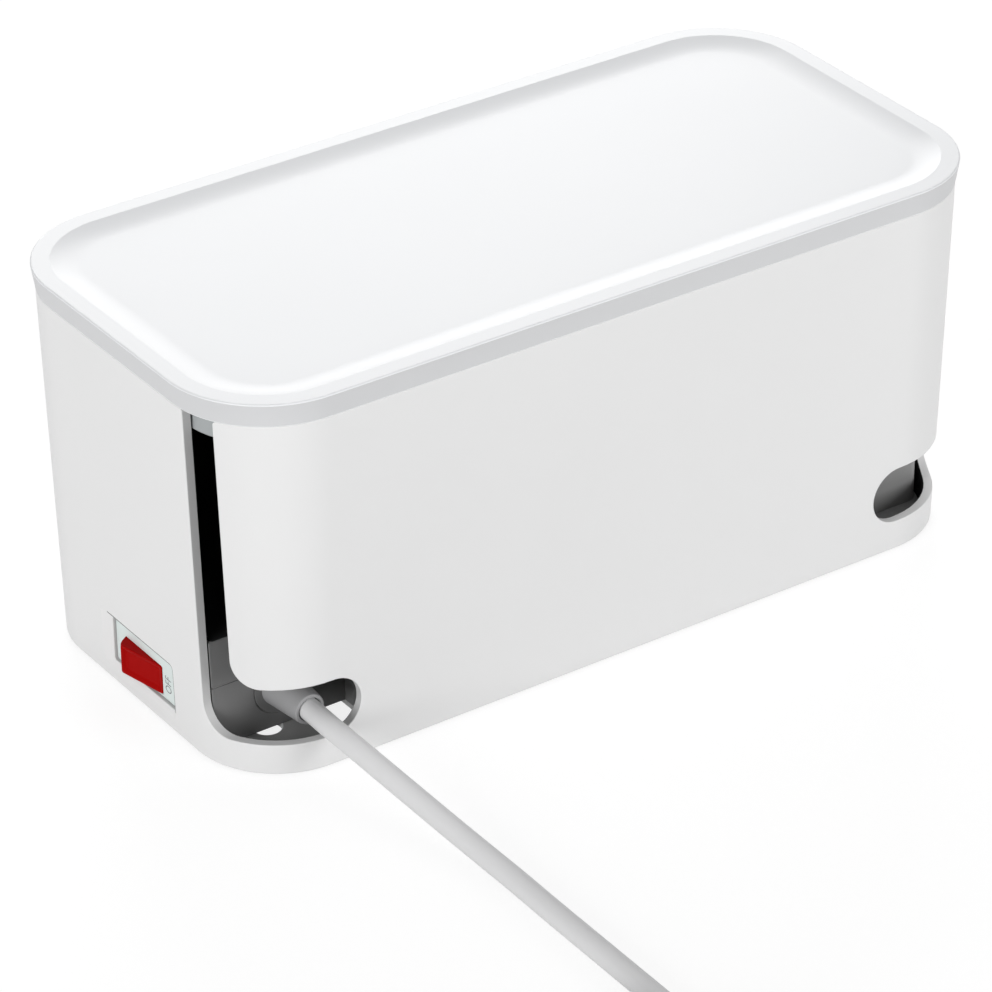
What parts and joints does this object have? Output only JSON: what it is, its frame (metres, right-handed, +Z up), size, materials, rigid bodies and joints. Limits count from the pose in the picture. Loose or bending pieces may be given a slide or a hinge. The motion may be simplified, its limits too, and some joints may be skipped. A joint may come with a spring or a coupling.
{
  "type": "cable management box",
  "caption": "Lidded rounded box that hides a power strip; rocker switch in the end wall, cable slots at the front corners, mains lead with plug.",
  "frame": {"origin": "on the surface that the box stands on, under the middle of the box", "axes": "+X along the length, away from the end with the switch; -Y is the front; +Z up"},
  "size_m": [0.4592, 0.4456, 0.1475],
  "materials": {
    "white_shell": "satin moulded",
    "strip_shell": "satin moulded",
    "bezel_grey": "satin",
    "red_rocker": "glossy",
    "cord_white": "smooth matt sheath",
    "grey_rubber": "matt",
    "black_plastic": "matt",
    "brass": "stamped",
    "screw_steel": "zinc plated",
    "plug_nickel": "nickel plated",
    "wire_brown": "smooth",
    "wire_blue": "smooth",
    "wire_green": "green with a yellow stripe"
  },
  "bodies": {
    "box": {"box_body": "white_shell", "rubber_feet": "grey_rubber", "strip_base": "strip_shell", "strip_cover": "strip_shell", "socket_inserts": "strip_shell", "earth_bar": "brass", "live_bar": "brass", "neutral_bar": "brass", "switch_case": "black_plastic", "switch_bezel": "bezel_grey", "switch_terminals": "brass", "cord_gland": "cord_white", "cord_clamp": "black_plastic", "clamp_screws": "screw_steel", "housing_screws": "screw_steel", "floor_screws": "screw_steel", "live_wire": "wire_brown", "switched_wire": "wire_brown", "neutral_wire": "wire_blue", "earth_wire": "wire_green", "mains_cord": "cord_white", "cord_coil": "cord_white", "coil_tie": "black_plastic", "cord_tail": "cord_white", "plug_body": "cord_white", "plug_pins": "plug_nickel", "plug_earth_clips": "plug_nickel"},
    "lid": {"lid": "white_shell"},
    "rocker": {"rocker": "red_rocker", "rocker_plunger": "strip_shell"},
    "contact_arm": {"contact_arm": "brass"}
  },
  "joints": [
    {"name": "lid_lift", "type": "slide", "parent": "box", "child": "lid", "axis": [0, 0, 1], "range_m": [0, 0.12]},
    {"name": "rocker_pivot", "type": "hinge", "parent": "box", "child": "rocker", "pos_m": [-0.14729, -0.00239, 0.01555], "axis": [0, 0, 1], "range_deg": [-24, 0]},
    {"name": "contact_tip", "type": "hinge", "parent": "box", "child": "contact_arm", "pos_m": [-0.13599, -0.00239, 0.01555], "axis": [0, 0, 1], "range_deg": [0, 16]}
  ],
  "couplings": [
    {"joint": "contact_tip", "follows": "rocker_pivot", "ratio": -0.6666}
  ]
}
